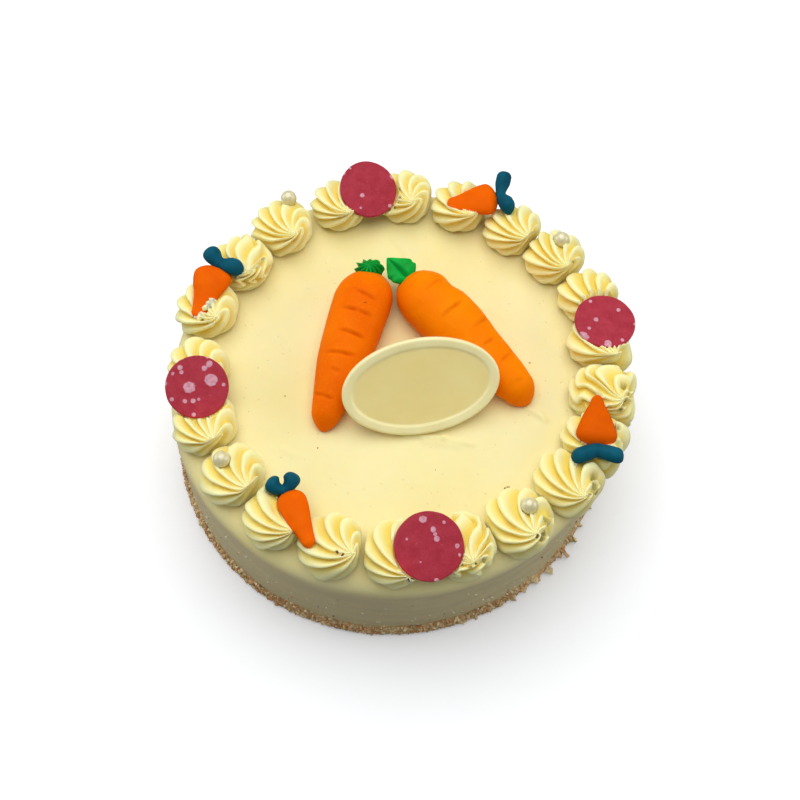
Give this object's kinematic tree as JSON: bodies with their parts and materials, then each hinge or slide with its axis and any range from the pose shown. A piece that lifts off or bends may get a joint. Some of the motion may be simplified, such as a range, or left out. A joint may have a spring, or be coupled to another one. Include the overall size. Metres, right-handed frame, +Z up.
{
  "type": "carrot cake",
  "caption": "Round frosted carrot cake with a ring of piped rosettes, sugar and chocolate toppings, marzipan carrots, a bare oval plaque and a nut crumb foot.",
  "frame": {"origin": "centre of the flat base of the cake, on the surface it stands on", "axes": "+Z up; -Y towards the front, where the foot of the plaque and the viewer are; +X to the right"},
  "size_m": [0.2059, 0.2027, 0.0849],
  "materials": {
    "frosting": "smooth pale yellow cream frosting, satin",
    "buttercream": "piped pale yellow buttercream, satin",
    "nut_crumbs": "chopped toasted nuts and cake crumbs, dry",
    "raspberry_chocolate": "raspberry-red chocolate, satin, with pale spots",
    "sugar_pearl": "pearly cream sugar coat",
    "sugar_orange": "orange moulded sugar, satin",
    "sugar_teal": "dark teal moulded sugar, satin",
    "marzipan_orange": "orange marzipan, soft satin",
    "marzipan_green": "green icing, slightly glossy",
    "white_chocolate": "white chocolate, satin"
  },
  "bodies": {
    "root": {"cake": "frosting", "crumb_band": "nut_crumbs", "rosette_01": "buttercream", "rosette_02": "buttercream", "rosette_03": "buttercream", "rosette_04": "buttercream", "rosette_05": "buttercream", "rosette_06": "buttercream", "rosette_07": "buttercream", "rosette_08": "buttercream", "rosette_09": "buttercream", "rosette_10": "buttercream", "rosette_11": "buttercream", "rosette_12": "buttercream", "rosette_13": "buttercream", "rosette_14": "buttercream", "rosette_15": "buttercream", "rosette_16": "buttercream", "rosette_17": "buttercream", "rosette_18": "buttercream", "rosette_19": "buttercream", "rosette_20": "buttercream", "rosette_21": "buttercream", "disc_1": "raspberry_chocolate", "disc_2": "raspberry_chocolate", "disc_3": "raspberry_chocolate", "disc_4": "raspberry_chocolate", "pearl_1": "sugar_pearl", "pearl_2": "sugar_pearl", "pearl_3": "sugar_pearl", "pearl_4": "sugar_pearl", "small_carrot_1": "sugar_orange", "small_carrot_1_leaves": "sugar_teal", "small_carrot_2": "sugar_orange", "small_carrot_2_leaves": "sugar_teal", "small_carrot_3": "sugar_orange", "small_carrot_3_leaves": "sugar_teal", "small_carrot_4": "sugar_orange", "small_carrot_4_leaves": "sugar_teal", "big_carrot_left": "marzipan_orange", "big_carrot_right": "marzipan_orange", "big_carrot_leaf_left": "marzipan_green", "big_carrot_leaf_right": "marzipan_green", "plaque": "white_chocolate"}
  },
  "joints": []
}
